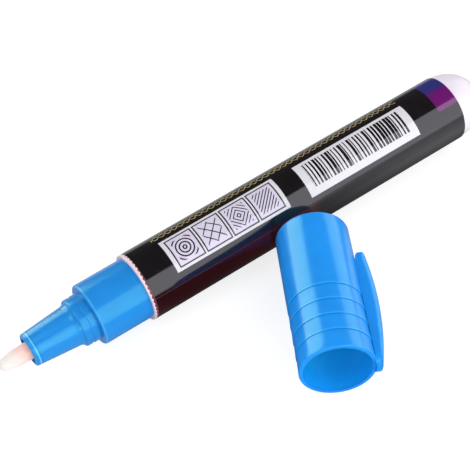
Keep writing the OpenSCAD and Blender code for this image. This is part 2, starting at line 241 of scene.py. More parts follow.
class Colours(bpy.types.PropertyGroup):
    """Colours of the marker and its print."""

    blue: tint("Blue", (33, 144, 235), "Plastic of the cap")
    # Painted shade: the front section is the cap's blue plastic, given a darker colour
    front: tint("Front blue", (33, 134, 214), "Plastic of the front section")
    # Painted highlight: light lines on the front section's edges
    painted_edge_highlight: tint("Edge light", (120, 208, 255), "Light lines on the edges of the front section")
    # Painted light: the inside of the cap is coloured lighter, near the mouth and more so deeper in, where light comes
    # through the wall
    glow: tint("Blue glow", (25, 162, 248), "Inside of the cap near its mouth, where light comes through the wall")
    deep_glow: tint("Deep glow", (28, 192, 255), "Inside of the cap at the bore's far end")
    white: tint("White", (225, 218, 230), "Plastic of the barrel")
    # Painted shade: the bare rim is coloured darker and pinker than the barrel
    rim: tint("Rim", (226, 202, 211), "Bare rim of the barrel in front of the film")
    rim_line: tint("Rim line", (104, 50, 60), "Toothed line along the film's front edge")
    liner: tint("Liner", (226, 230, 236), "Plastic of the cap's liner")
    film: tint("Film", (14, 11, 14), "Ground of the printed film")
    paper: tint("Label", (211, 209, 215), "White of the two printed labels")
    panel: tint("Panel", (206, 199, 218), "Ground of the small panels")
    ink: tint("Ink", (16, 14, 20), "Lines and bars of the labels")
    gold: tint("Gold", (176, 160, 110), "Chain line along the film")
    indigo: tint("Indigo", (43, 41, 110), "First block at the film's rear edge")
    violet: tint("Violet", (98, 14, 98), "Second block at the film's rear edge")
    red: tint("Dark red", (40, 5, 9), "Stripe along the film's lower side")
    felt: tint("Felt", (229, 226, 224), "Tip of the nib")
    felt_root: tint("Felt root", (252, 204, 190), "Root of the nib")
    steel: tint("Steel", (196, 198, 202), "Spring and mixing ball")
    clear: tint("Clear plastic", (222, 228, 230), "Valve body and spring retainer")


class Print(bpy.types.PropertyGroup):
    """Places of the print on the film: along it from its front edge, and round it from the top."""

    panels_start: size("Panels start", 6.8, "Front edge of the label with panels")
    panels_end: size("Panels end", 36, "Rear edge of the label with panels")
    panels_top: angle("Panels top", -9, "Upper edge of the label with panels")
    panels_low: angle("Panels low", 51, "Lower edge of the label with panels")
    bars_start: size("Bars start", 41.3, "Front edge of the label with bars")
    bars_end: size("Bars end", 71.4, "Rear edge of the label with bars")
    bars_top: angle("Bars top", -6, "Upper edge of the label with bars")
    bars_low: angle("Bars low", 56, "Lower edge of the label with bars")
    gold_start: size("Gold start", 6, "Front end of the chain line")
    gold_end: size("Gold end", 71.6, "Rear end of the chain line")
    gold_at: angle("Gold place", -24, "Middle of the chain line")
    gold_link: size("Gold link", 1.6, "Length of one link of the chain line")
    gold_high: size("Gold height", 0.65, "Half the height of the chain line")
    blocks_start: size("Blocks start", 78, "Front edge of the colour blocks")
    blocks_top: angle("Blocks top", -75, "Upper edge of the first block")
    blocks_mid: angle("Blocks middle", 3, "Edge between the blocks")
    blocks_low: angle("Blocks low", 40, "Lower edge of the second block")
    stripe_end: size("Stripe end", 42, "Rear end of the dark red stripe")
    stripe_top: angle("Stripe top", 66, "Upper edge of the dark red stripe")
    stripe_low: angle("Stripe low", 150, "Lower edge of the dark red stripe")


class MarkerSettings(bpy.types.PropertyGroup):
    """Everything that a user would change on the marker."""

    pen: PointerProperty(type=PenSizes)
    cap: PointerProperty(type=CapSizes)
    colours: PointerProperty(type=Colours)
    print: PointerProperty(type=Print)


def settings():
    """The marker's settings in the present scene."""
    return bpy.context.scene.paint_marker


# Shapes


def arc(centre, radius, start, end, steps=8):
    """Points of an arc round a centre, from one angle to another in degrees."""
    a = np.radians(np.linspace(start, end, steps + 1))
    return np.column_stack([centre[0] + radius * np.cos(a), centre[1] + radius * np.sin(a)])


def superellipse(radius, start, length, power, steps=40):
    """Quarter outline from (radius, start) to (0, start + length): cos and sin of an angle to the power 2/p."""
    a = np.linspace(0, math.pi / 2, steps + 1)
    curve = np.column_stack([radius * np.cos(a) ** (2 / power), start + length * np.sin(a) ** (2 / power)])
    curve[-1, 0] = 0
    return curve


def outline(*parts):
    """One profile of (radius, station) from points and runs of points, without repeated points."""
    points = np.vstack([np.atleast_2d(part) for part in parts]).astype(float)
    fresh = np.r_[True, np.abs(np.diff(points, axis=0)).max(1) > 1e-8]
    return points[fresh]


def graded(profile, longest):
    """The same profile with no span longer than a given length: each span is cut into equal shares."""
    spans = np.linalg.norm(np.diff(profile, axis=0), axis=1)
    cuts = np.maximum(1, np.ceil(spans / longest)).astype(int)
    span = np.repeat(np.arange(len(cuts)), cuts)
    share = (np.arange(len(span)) - np.repeat(np.cumsum(cuts) - cuts, cuts)) / cuts[span]
    inner = profile[span] + share[:, None] * (profile[span + 1] - profile[span])
    return np.vstack([inner, profile[-1:]])


def shell(points, row_loop=False, uv=None):
    """A closed surface on a grid of points (rows, columns, 3), joined round its columns.

    Cell (i, j) is the quad (i, j), (i+1, j), (i+1, j+1), (i, j+1). Points that coincide are one, so a row
    of them is a pole, whose quads become triangles, and a cell without area is left out. The signed
    volume, a sum of p0 . (p1 x p2) / 6 over the triangles, tells whether the faces have to be turned
    outwards.
    """
    rows, cols = points.shape[:2]
    flat = points.reshape(-1, 3)
    first, same = np.unique(flat.round(9), axis=0, return_index=True, return_inverse=True)[1:]
    index = first[same.ravel()].reshape(rows, cols)
    i, j = np.meshgrid(np.arange(rows if row_loop else rows - 1), np.arange(cols), indexing="ij")
    i = i.reshape(-1, 1) + np.array([0, 1, 1, 0])
    j = j.reshape(-1, 1) + np.array([0, 0, 1, 1])
    quads = index[i % rows, j % cols]
    if uv is None:
        uv = (np.arange(rows + 1) / rows, np.arange(cols + 1) / cols)
    params = np.stack([uv[0][i], uv[1][j]], -1)
    p = flat[quads]
    volume = np.einsum("ij,ij->", p[:, 0], np.cross(p[:, 1], p[:, 2]) + np.cross(p[:, 2], p[:, 3]))
    if volume < 0:
        quads, params = quads[:, ::-1], params[:, ::-1]
    keep = quads != np.roll(quads, 1, axis=1)
    whole = keep.sum(1) > 2
    quads, params, keep = quads[whole], params[whole], keep[whole]
    used, corner = np.unique(quads[keep], return_inverse=True)
    return flat[used], corner.ravel(), keep.sum(1), params[keep]


def turned(axis, profile, cols=256, row_loop=False):
    """A profile of (radius, station) carried round an axis, with UV in millimetres along the profile and round it."""
    a = np.linspace(-math.pi, math.pi, cols, endpoint=False)
    points = axis.point(profile[:, :1], profile[:, 1:], a)
    walk = np.r_[0, np.cumsum(np.linalg.norm(np.diff(np.vstack([profile, profile[:1]]), axis=0), axis=1))]
    around = np.linspace(-math.pi, math.pi, cols + 1) * profile[:, 0].max()
    return shell(points, row_loop, (walk / MM, around / MM))


def capped(points):
    """The same grid of points with its first and its last row each closed by a pole in the row's middle."""
    first, last = (np.broadcast_to(row.mean(0), (1, *row.shape)) for row in (points[0], points[-1]))
    return np.vstack([first, points, last])


def coil(axis, radius, wire, start, end, turns, steps=32, sides=12):
    """A round wire wound along an axis, with closed ends.

    At a share t of its length the wire's middle is at the radius, t times all turns round from the
    bottom, and t of the way from start to end. Its circle lies in the plane of the axis.
    """
    t = np.linspace(0, 1, steps * turns + 1)[:, None]
    b = np.linspace(0, TURN, sides, endpoint=False)
    station = start + wire + (end - start - 2 * wire) * t + wire * np.sin(b)
    return shell(capped(axis.point(radius + wire * np.cos(b), station, TURN * turns * t - math.pi)))


def make_piece(name, shells, finish, body, nodes, sharp=34):
    """One mesh from closed shells, smooth up to the sharp angle, that rides on a body and stands for nodes."""
    starts = np.cumsum([0] + [len(part[0]) for part in shells])
    place = np.vstack([part[0] for part in shells])
    corner = np.concatenate([part[1] + start for part, start in zip(shells, starts)])
    count = np.concatenate([part[2] for part in shells])
    params = np.vstack([part[3] for part in shells])
    mesh = bpy.data.meshes.new(name)
    mesh.vertices.add(len(place))
    mesh.vertices.foreach_set("co", place.astype(np.float32).ravel())
    mesh.loops.add(len(corner))
    mesh.loops.foreach_set("vertex_index", corner.astype(np.int32))
    mesh.polygons.add(len(count))
    mesh.polygons.foreach_set("loop_start", (np.cumsum(count) - count).astype(np.int32))
    mesh.update(calc_edges=True)
    mesh.uv_layers.new(name="surface").data.foreach_set("uv", params.astype(np.float32).ravel())
    mesh.shade_smooth()
    mesh.set_sharp_from_angle(angle=math.radians(sharp))
    if mesh.validate():
        raise RuntimeError(f"{name} has faces that Blender had to mend")
    mesh.materials.append(finish)
    piece = bpy.data.objects.new(name, mesh)
    bpy.context.scene.collection.objects.link(piece)
    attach(piece, body)
    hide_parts(*nodes)
    return piece


# Finishes


class Finish:
    """A material's nodes. Each call adds one node and gives its output; numbers and outputs mix freely."""

    def __init__(self, name):
        self.material = bpy.data.materials.new(name)
        self.material.use_nodes = True
        self.tree = self.material.node_tree
        self.shader = self.tree.nodes["Principled BSDF"]

    def feed(self, value, socket):
        if isinstance(value, bpy.types.NodeSocket):
            self.tree.links.new(value, socket)
        elif socket.type == "RGBA":
            socket.default_value = (*value[:3], 1)
        else:
            socket.default_value = value

    def add(self, kind, inputs=(), out=0, **modes):
        node = self.tree.nodes.new(kind)
        for mode, value in modes.items():
            setattr(node, mode, value)
        for key, value in dict(inputs).items():
            self.feed(value, node.inputs[key])
        return node.outputs[out]

    def set(self, **sockets):
        for name, value in sockets.items():
            self.feed(value, self.shader.inputs[name.replace("_", " ")])

    def math(self, operation, *values):
        return self.add("ShaderNodeMath", enumerate(values), operation=operation)

    def minus(self, a, b):
        return self.math("SUBTRACT", a, b)

    def times(self, a, b):
        return self.math("MULTIPLY", a, b)

    def mix(self, share, a, b):
        return self.add("ShaderNodeMix", {0: share, 6: a, 7: b}, 2, data_type="RGBA")

    def ease(self, value, low, high, start=0.0, end=1.0):
        """A smooth step: start below low, end above high."""
        return self.add("ShaderNodeMapRange", enumerate((value, low, high, start, end)),
                        interpolation_type="SMOOTHSTEP")

    def scaled(self, value, low, high):
        """Noise, which mostly lies between 0.3 and 0.7, carried to low to high."""
        return self.add("ShaderNodeMapRange", {0: value, 1: 0.3, 2: 0.7, 3: low, 4: high})

    def band(self, value, low, high, soft):
        """1 from low to high, with soft edges."""
        return self.minus(self.ease(value, low - soft, low + soft), self.ease(value, high - soft, high + soft))

    def stroke(self, distance, half, soft):
        """1 where a distance is below half a line's width."""
        return self.ease(self.math("ABSOLUTE", distance), half - soft, half + soft, 1.0, 0.0)

    def both(self, *masks):
        """All masks at once: their product."""
        total = masks[0]
        for mask in masks[1:]:
            total = self.times(total, mask)
        return total

    def place(self):
        return self.add("ShaderNodeTexCoord", out="Object")

    def along_axis(self, axis):
        """Station along an axis and distance from it: p . a and |p x a|, with p from the axis's start."""
        offset = self.add("ShaderNodeVectorMath", {0: self.place(), 1: axis.start}, operation="SUBTRACT")
        station = self.add("ShaderNodeVectorMath", {0: offset, 1: axis.along}, "Value", operation="DOT_PRODUCT")
        lever = self.add("ShaderNodeVectorMath", {0: offset, 1: axis.along}, operation="CROSS_PRODUCT")
        return station, self.add("ShaderNodeVectorMath", {0: lever}, "Value", operation="LENGTH")

    def surface(self):
        """The piece's own millimetres along its surface and round it."""
        parts = self.add("ShaderNodeSeparateXYZ", {0: self.add("ShaderNodeUVMap", uv_map="surface")}).node
        return parts.outputs[0], parts.outputs[1]

    def stretched(self, scale):
        """Object coordinates with each direction scaled, so that a pattern runs along one of them."""
        return self.add("ShaderNodeMapping", {"Vector": self.place(), "Scale": scale})

    def noise(self, vector, scale, detail=2.0):
        return self.add("ShaderNodeTexNoise", {"Vector": vector, "Scale": scale, "Detail": detail})

    def bump(self, height, depth, strength=1.0):
        """Raises the surface by a height from 0 to 1, times a depth in metres."""
        self.set(Normal=self.add("ShaderNodeBump", {"Height": height, "Distance": depth, "Strength": strength}))


def shade(colour, factor):
    """A colour made darker or lighter by a factor."""
    return tuple(min(1.0, part * factor) for part in colour)


def moulded(name, colour, rough, scale=180.0):
    """Injection-moulded plastic: faint clouds of colour, uneven gloss and a fine orange-peel skin."""
    finish = Finish(name)
    cloud = finish.noise(finish.place(), scale, 3)
    finish.ground = finish.mix(finish.scaled(cloud, 0, 1), shade(colour, 0.94), shade(colour, 1.05))
    finish.set(Base_Color=finish.ground)
    gloss = finish.noise(finish.place(), scale * 6, 2)
    finish.set(Roughness=finish.scaled(gloss, rough * 0.85, rough * 1.2))
    finish.bump(finish.noise(finish.place(), scale * 12, 2), 0.000004)
    return finish


def blue_plastic(name, colour):
    """Glossy blue plastic that lets a little light in, with cool highlights."""
    finish = moulded(name, colour, 0.2)
    finish.set(IOR=1.6, Specular_Tint=(0.32, 1.0, 0.45))
    finish.set(Subsurface_Weight=0.15, Subsurface_Radius=(0.25, 0.7, 1.0), Subsurface_Scale=0.0008)
    return finish


def fine_lines(finish, ground, where, distance, soft, rows):
    """Lays lines on the ground. A row has a line's start and end in millimetres, its share and its colour."""
    for low, high, share, colour in rows:
        line = finish.band(distance, low * MM, high * MM, soft * MM)
        ground = finish.mix(finish.both(where, line, share), ground, colour)
    return ground


def front_plastic():
    """The front section's blue plastic, painted darker than the cap's as painted shade, with a painted highlight line
    and a painted shade line behind the cone's lip and a painted highlight on the seat's edge.
    """
    pen, colours = settings().pen, settings().colours
    # The front blue is the cap's plastic given a darker colour: painted shade
    finish = blue_plastic("blue_front_plastic", colours.front)
    station, radius = finish.along_axis(PEN)
    outside = finish.ease(radius, pen.cup + 0.3 * MM, pen.cup + 0.4 * MM)
    from_lip = finish.minus(station, pen.lip_line - FRONT_LEN)
    from_seat = finish.math("ADD", station, pen.seat_len)
    soft = 0.06
    # Painted highlight along the cone's lip, painted shade just behind it, and a painted highlight on the seat's front
    # edge
    ground = fine_lines(finish, finish.ground, outside, from_lip, soft, (
        (-0.17, 0.17, 0.6, colours.painted_edge_highlight), (0.2, 0.42, 0.4, shade(colours.front, 0.5))))
    ground = fine_lines(finish, ground, outside, from_seat, soft, ((0.1, 0.45, 0.2, colours.painted_edge_highlight),))
    finish.set(Base_Color=ground)
    return finish.material


def cap_plastic():
    """The cap's blue plastic: painted light inside, where the bore's wall is coloured lighter for light that comes
    through it, and a painted highlight line and a painted shade line at each grip ring.
    """
    cap, colours = settings().cap, settings().colours
    finish = blue_plastic("blue_cap_plastic", colours.blue)
    station, radius = finish.along_axis(CAP)
    bore = finish.ease(radius, CAP_BORE_R + 0.05 * MM, CAP_BORE_R + 0.2 * MM, 1.0, 0.0)
    inside = finish.both(bore, finish.ease(station, 0.1 * MM, 0.8 * MM))
    # Painted light inside the bore, lighter towards its far end
    glow = finish.mix(finish.ease(station, 0.0, 0.8 * CAP_BORE_LEN), colours.glow, colours.deep_glow)
    ground = finish.mix(inside, finish.ground, glow)
    turn = finish.math("DIVIDE", finish.minus(station, cap.grip_first - cap.grip_pitch / 2), cap.grip_pitch)
    step = finish.times(finish.minus(finish.math("FRACT", turn), 0.5), cap.grip_pitch)
    last = cap.grip_first + (GRIP_RINGS - 1) * cap.grip_pitch
    wall = finish.both(finish.band(station, cap.grip_first - 1 * MM, last + 1 * MM, 0.1 * MM),
                       finish.band(radius, CAP_R - 0.4 * MM, CAP_R + 0.05 * MM, 0.02 * MM))
    # A painted highlight line on each grip ring's step and a painted shade line below it
    finish.set(Base_Color=fine_lines(finish, ground, wall, step, 0.05, (
        (0.02, 0.36, 0.55, shade(colours.blue, 1.6)), (-0.24, -0.02, 0.38, shade(colours.blue, 0.4)))))
    return finish.material


def white_plastic():
    """The barrel's white plastic, with painted shade on the rim, which is coloured darker and pinker, and the toothed
    line of the film's cut edge.

    The line starts ahead of the film by a distance that falls and rises along a zigzag round the barrel
    and grows from the top to the cap's side, and it ends under the film.
    """
    pen, colours = settings().pen, settings().colours
    finish = moulded("white_barrel_plastic", colours.white, 0.34)
    station = finish.along_axis(PEN)[0]
    rim = finish.ease(station, FILM_FRONT, FILM_FRONT + 1 * MM, 1.0, 0.0)
    around = finish.surface()[1]
    tooth = finish.math("PINGPONG", around, pen.tooth_pitch / 2 / MM)
    tooth = finish.times(tooth, 2 * pen.tooth_depth * MM / pen.tooth_pitch)
    lean = finish.ease(around, 0.0, FILM_R / MM, 0.0, pen.tooth_lean)
    cut = finish.math("ADD", finish.minus(station, tooth), lean)
    tips, soft = FILM_FRONT - pen.tooth_line, 0.03 * MM
    line = finish.ease(cut, tips - soft, tips + soft)
    end = finish.ease(station, FILM_FRONT + 0.4 * MM, FILM_FRONT + 0.5 * MM, 1.0, 0.0)
    # Painted shade: the rim is darker and pinker
    ground = finish.mix(rim, finish.ground, colours.rim)
    finish.set(Base_Color=finish.mix(finish.both(line, end), ground, colours.rim_line))
    finish.set(Subsurface_Weight=0.12, Subsurface_Radius=(1.0, 0.85, 0.75), Subsurface_Scale=0.001)
    return finish.material


def liner_plastic():
    """Soft, milky plastic of the cap's liner."""
    finish = moulded("soft_liner_plastic", settings().colours.liner, 0.45, 240)
    finish.set(Subsurface_Weight=0.2, Subsurface_Radius=(1.0, 1.0, 1.0), Subsurface_Scale=0.001)
    return finish.material


def stem_plastic():
    """Slick white plastic of the valve's stem."""
    return moulded("slick_stem_plastic", settings().colours.white, 0.28, 400).material


def clear_plastic():
    """Clear plastic of the valve's housing."""
    finish = moulded("clear_valve_plastic", settings().colours.clear, 0.16, 300)
    finish.set(Transmission_Weight=0.75, IOR=1.49)
    return finish.material


def steel(name):
    """Bright steel: fine drawn scratches along X in its gloss, and clouds of grey."""
    finish = Finish(name)
    colour = settings().colours.steel
    finish.set(Base_Color=finish.mix(finish.noise(finish.place(), 500), shade(colour, 0.85), shade(colour, 1.1)))
    drawn = finish.noise(finish.stretched((300, 6000, 6000)), 1, 2)
    finish.set(Metallic=1.0, Roughness=finish.scaled(drawn, 0.16, 0.34))
    return finish.material


def felt():
    """Pressed fibres that run along the nib: pale streaks and pores, a fuzzy edge, a peach tint towards the root."""
    colours = settings().colours
    finish = Finish("pressed_felt")
    along = finish.surface()[0]
    fibre = finish.noise(finish.stretched((700, 5200, 5200)), 1, 4)
    fuzz = finish.noise(finish.place(), 3600, 3)
    show = (PEN.start[0] - FRONT_LEN - NIB_LOW[0]) / MM
    # The nib turns peach towards its root
    towards_root = finish.ease(finish.math("ADD", along, finish.times(fuzz, 1.4)), 0.55 * show, 1.25 * show)
    ground = finish.mix(towards_root, colours.felt, colours.felt_root)
    streak = finish.scaled(fibre, 0.28, 0)
    finish.set(Base_Color=finish.mix(streak, ground, shade(colours.felt_root, 0.72)))
    finish.set(Roughness=finish.scaled(fuzz, 0.82, 0.98), Sheen_Weight=0.35, Sheen_Roughness=0.5)
    finish.set(Subsurface_Weight=0.25, Subsurface_Radius=(1.0, 0.75, 0.6), Subsurface_Scale=0.0008)
    finish.bump(finish.math("ADD", fibre, finish.times(fuzz, 0.6)), 0.00006)
    return finish.material


def label(finish, ground, along, around, start, end, top, low, paper):
    """Lays a plain label on the ground, with its edges in millimetres along the film and round it."""
    mask = finish.both(finish.band(along, start, end, CRISP), finish.band(around, top, low, CRISP))
    return finish.mix(mask, ground, paper)


def panels(finish, ground, along, around, start, end, top, low, colours):
    """Four framed panels in a row on a label, each with a plain line pattern.

    With x and y from a panel's middle: rings are |(x, y)| folded, a lattice is where x folded equals y
    folded, nested diamonds are |x| + |y| folded, and slanted strokes are x + y folded.
    """
    count, margin, gap, inset, line, soft = 4, 0.75, 0.35, 0.8, 0.16, 0.05
    pitch = (end - start - 2 * margin) / count
    half_w, half_h = pitch / 2 - gap, (low - top) / 2 - margin
    step = finish.math("DIVIDE", finish.minus(along, start + margin), pitch)
    number = finish.math("FLOOR", step)
    x = finish.times(finish.minus(finish.math("FRACT", step), 0.5), pitch)
    y = finish.minus(around, (top + low) / 2)
    side_x, side_y = finish.math("ABSOLUTE", x), finish.math("ABSOLUTE", y)
    edge = finish.math("MAXIMUM", finish.minus(side_x, half_w), finish.minus(side_y, half_h))
    row = finish.band(along, start + margin, end - margin, 0.02)
    ground = finish.mix(finish.both(row, finish.ease(edge, -soft, soft, 1.0, 0.0)), ground, colours.panel)
    squares = (finish.math("POWER", side, 2.0) for side in (side_x, side_y))
    length = finish.math("SQRT", finish.math("ADD", *squares))

    def fold(value, width):
        """A value that runs to and fro over a width, measured from the width's middle."""
        return finish.minus(finish.math("PINGPONG", value, width), width / 2)

    patterns = (
        fold(length, 0.8),
        finish.minus(fold(side_x, 1.2), fold(side_y, 1.2)),
        fold(finish.math("ADD", side_x, side_y), 1.0),
        fold(finish.math("ADD", x, y), 0.9),
    )
    inside = finish.ease(edge, -inset - soft, -inset + soft, 1.0, 0.0)
    lines = finish.both(row, finish.stroke(edge, line, soft))
    for which, pattern in enumerate(patterns):
        here = finish.math("COMPARE", number, float(which), 0.1)
        lines = finish.math("MAXIMUM", lines, finish.both(here, inside, finish.stroke(pattern, line, soft)))
    return finish.mix(lines, ground, colours.ink)


def bars(finish, ground, along, around, start, end, top, low, colours):
    """Upright bars that say nothing: one in each equal column, with a width left to chance."""
    margin, column, narrow, wide, head, tall = 1.8, 0.85, 0.28, 0.88, 0.8, 0.8
    step = finish.math("DIVIDE", along, column)
    chance = finish.add("ShaderNodeTexWhiteNoise", {"W": finish.math("FLOOR", step)}, noise_dimensions="1D")
    width = finish.add("ShaderNodeMapRange", {0: chance, 3: narrow, 4: wide})
    inked = finish.math("LESS_THAN", finish.math("FRACT", step), width)
    area = finish.both(finish.band(along, start + margin, end - margin, 0.02),
                       finish.band(around, top + head, top + tall * (low - top), CRISP))
    return finish.mix(finish.both(inked, area), ground, colours.ink)


def printed_film():
    """Glossy black shrink film with its print: two labels, a chain line, a stripe and two colour blocks.

    The chain is where the height over its middle equals |sin| of the place along it. The stripe gets lighter
    towards its rear end, and the lap's edge is matt.
    """
    colours, spots, pen = settings().colours, settings().print, settings().pen
    finish = Finish("printed_gloss_film")
    along, around = finish.surface()
    half, soft = 0.13, 0.05

    def arc_mm(value):
        return value * FILM_R / MM

    cloud = finish.noise(finish.place(), 300, 3)
    ground = finish.mix(finish.scaled(cloud, 0, 1), shade(colours.film, 0.7), shade(colours.film, 1.4))
    stripe = finish.both(finish.band(along, -1, spots.stripe_end / MM, 1.2),
                         finish.band(around, arc_mm(spots.stripe_top), arc_mm(spots.stripe_low), 0.9))
    lighter = finish.ease(along, 16, 34)
    red = finish.mix(lighter, colours.red, shade(colours.red, 2.4))
    ground = finish.mix(stripe, ground, red)
    wave = finish.math("SINE", finish.times(along, math.pi * MM / spots.gold_link))
    swing = finish.times(finish.math("ABSOLUTE", wave), spots.gold_high / MM)
    height = finish.math("ABSOLUTE", finish.minus(around, arc_mm(spots.gold_at)))
    chain = finish.stroke(finish.minus(height, swing), half, soft)
    gold = finish.both(chain, finish.band(along, spots.gold_start / MM, spots.gold_end / MM, soft))
    ground = finish.mix(gold, ground, colours.gold)
    tail = finish.band(along, spots.blocks_start / MM, 2 * FILM_END / MM, CRISP)
    for top, low, colour in ((spots.blocks_top, spots.blocks_mid, colours.indigo),
                             (spots.blocks_mid, spots.blocks_low, colours.violet)):
        block = finish.both(tail, finish.band(around, arc_mm(top), arc_mm(low), CRISP))
        ground = finish.mix(block, ground, colour)
    first = (spots.panels_start / MM, spots.panels_end / MM, arc_mm(spots.panels_top), arc_mm(spots.panels_low))
    second = (spots.bars_start / MM, spots.bars_end / MM, arc_mm(spots.bars_top), arc_mm(spots.bars_low))
    for place in (first, second):
        ground = label(finish, ground, along, around, *place, colours.paper)
    ground = panels(finish, ground, along, around, *first, colours)
    ground = bars(finish, ground, along, around, *second, colours)
    finish.set(Base_Color=ground, IOR=1.6, Specular_Tint=(0.93, 0.91, 1.0))
    gloss = finish.noise(finish.place(), 900, 2)
    lap = finish.stroke(finish.minus(around, arc_mm(pen.lap_edge)), half, soft)
    finish.set(Roughness=finish.math("MAXIMUM", finish.scaled(gloss, 0.07, 0.13), finish.times(lap, 0.8)))
    finish.bump(finish.noise(finish.stretched((25, 160, 160)), 1, 2), 0.00001)
    return finish.material


# Pieces


class FilmOperator(bpy.types.Operator):
    """Wraps the printed film round the barrel, lapped over itself along one edge"""

    bl_idname = "paint_marker.film"
    bl_label = "Printed Film"

    def execute(self, context):
        pen = settings().pen
        base = np.linspace(-math.pi, math.pi, 288, endpoint=False)
        edge, far = pen.lap_edge, pen.lap_edge - pen.lap / FILM_R
        # The lap lifts the film by half its thickness: at once at its edge, and slowly at its far side
        drop, ahead, slope = 0.004, 0.1, 0.35
        a = np.unique(np.r_[base, edge + drop * np.array([-3, -1, 0, 1]), far + np.linspace(-ahead, 0.3, 12)])
        rise = np.clip((edge - a) / drop, 0, 1) * np.clip((a - far + ahead) / slope, 0, 1)
        thick = pen.film / 2 * rise
        outer = graded(outline([FILM_R, FILM_FRONT], [FILM_R, FILM_END]), 2 * MM)
        inner = outer[::-1] - [pen.film, 0]
        profile = np.vstack([outer, inner])
        lift = np.r_[np.ones(len(outer)), np.zeros(len(inner))]
        points = PEN.point(profile[:, :1] + lift[:, None] * thick, profile[:, 1:], a)
        along = (np.r_[profile[:, 1], profile[0, 1]] - FILM_FRONT) / MM
        around = np.r_[a, a[0] + TURN] * FILM_R / MM
        film = shell(points, True, (along, around))
        make_piece("printed_film", [film], printed_film(), "pen", ["film_sleeve"])
        return {"FINISHED"}


class BarrelOperator(bpy.types.Operator):
    """Turns the white barrel: its front rim, its tube under the film and its domed rear end"""

    bl_idname = "paint_marker.barrel"
    bl_label = "Barrel"

    def execute(self, context):
        pen = settings().pen
        tube = FILM_R - pen.film - pen.press
        bore = tube - pen.wall
        rim = FILM_FRONT - pen.press
        profile = outline(
            superellipse(bore, FILM_END, PEN_END - FILM_END - pen.wall, pen.dome_power)[::-1],
            [bore, 0],
            arc([FILM_R - pen.rim_round, pen.rim_round], pen.rim_round, -90, 0),
            [[FILM_R, rim], [tube, rim]],
            superellipse(tube, FILM_END, PEN_END - FILM_END, pen.dome_power))
        barrel = turned(PEN, graded(profile, 3 * MM))
        make_piece("white_barrel", [barrel], white_plastic(), "pen", ["barrel"])
        return {"FINISHED"}


class FrontOperator(bpy.types.Operator):
    """Turns the blue front section: plug, cap seat, sealing ring, collar and a cone with an open cup"""

    bl_idname = "paint_marker.front"
    bl_label = "Front Section"

    def execute(self, context):
        pen = settings().pen
        plug = FILM_R - pen.film - pen.press - pen.wall - pen.press
        ring = SEAT_R - pen.ring_step
        neck = ring - pen.neck_depth
        ring_rear = pen.seat_len + pen.neck
        ring_front = ring_rear + pen.ring_len
        collar = ring - pen.collar_step
        collar_rear = ring_front + pen.groove
        collar_front = collar_rear + pen.collar_len
        cone_base = collar - pen.collar_shoulder
        hollow = max(90.0, math.degrees(math.acos((pen.collar_shoulder - pen.collar_round) / pen.cone_fillet - 1)))
        hollow_low = -collar_front - pen.cone_fillet * math.sin(math.radians(hollow))
        chamber = plug - pen.plug_wall
        bore = NIB_R + pen.nib_gap
        valve_front = pen.valve_inset - pen.seat_len
        cup_floor = pen.cup_depth - FRONT_LEN
        profile = outline(
            [[chamber, PLUG_LEN], [plug - pen.plug_chamfer, PLUG_LEN], [plug, PLUG_LEN - pen.plug_chamfer]],
            [[plug, 0], [SEAT_R, 0]],
            arc([SEAT_R - pen.seat_round, pen.seat_round - pen.seat_len], pen.seat_round, 0, -90),
            [[neck, -pen.seat_len], [neck, -ring_rear], [ring, -ring_rear], [ring, pen.ring_chamfer - ring_front]],
            [[ring - pen.ring_chamfer, -ring_front], [collar - pen.groove_depth, -ring_front]],
            [[collar - pen.groove_depth, -collar_rear], [collar, -collar_rear]],
            arc([collar - pen.collar_round, pen.collar_round - collar_front], pen.collar_round, 0, -90),
            arc([cone_base + pen.cone_fillet, hollow_low], pen.cone_fillet, hollow, 180),
            arc([pen.cone_front - pen.cone_round, pen.cone_round - FRONT_LEN], pen.cone_round, 0, -90),
            [[pen.cup, -FRONT_LEN], [pen.cup, cup_floor], [bore, cup_floor], [bore, valve_front]],
            [[chamber, valve_front]])
        front = turned(PEN, profile, row_loop=True)
        make_piece("front_section_blue", [front], front_plastic(), "pen", ["front_section"])
        return {"FINISHED"}


class NibOperator(bpy.types.Operator):
    """Turns the felt nib: a rod whose taper runs on into a round tip"""

    bl_idname = "paint_marker.nib"
    bl_label = "Nib"

    def execute(self, context):
        pen = settings().pen
        run = pen.nib_taper - pen.nib_tip
        lean = math.degrees(math.acos(pen.nib_tip / math.hypot(NIB_R, run)) - math.atan2(run, NIB_R))
        tip = arc([0, NIB_TIP + pen.nib_tip], pen.nib_tip, -90, -lean, 20)
        tip[0, 0] = 0
        profile = outline(tip, [[NIB_R, NIB_TIP + pen.nib_taper], [NIB_R, NIB_REAR], [0, NIB_REAR]])
        nib = turned(PEN, graded(profile, 0.5 * MM), 160)
        make_piece("felt_nib", [nib], felt(), "nib", ["nib"])
        return {"FINISHED"}


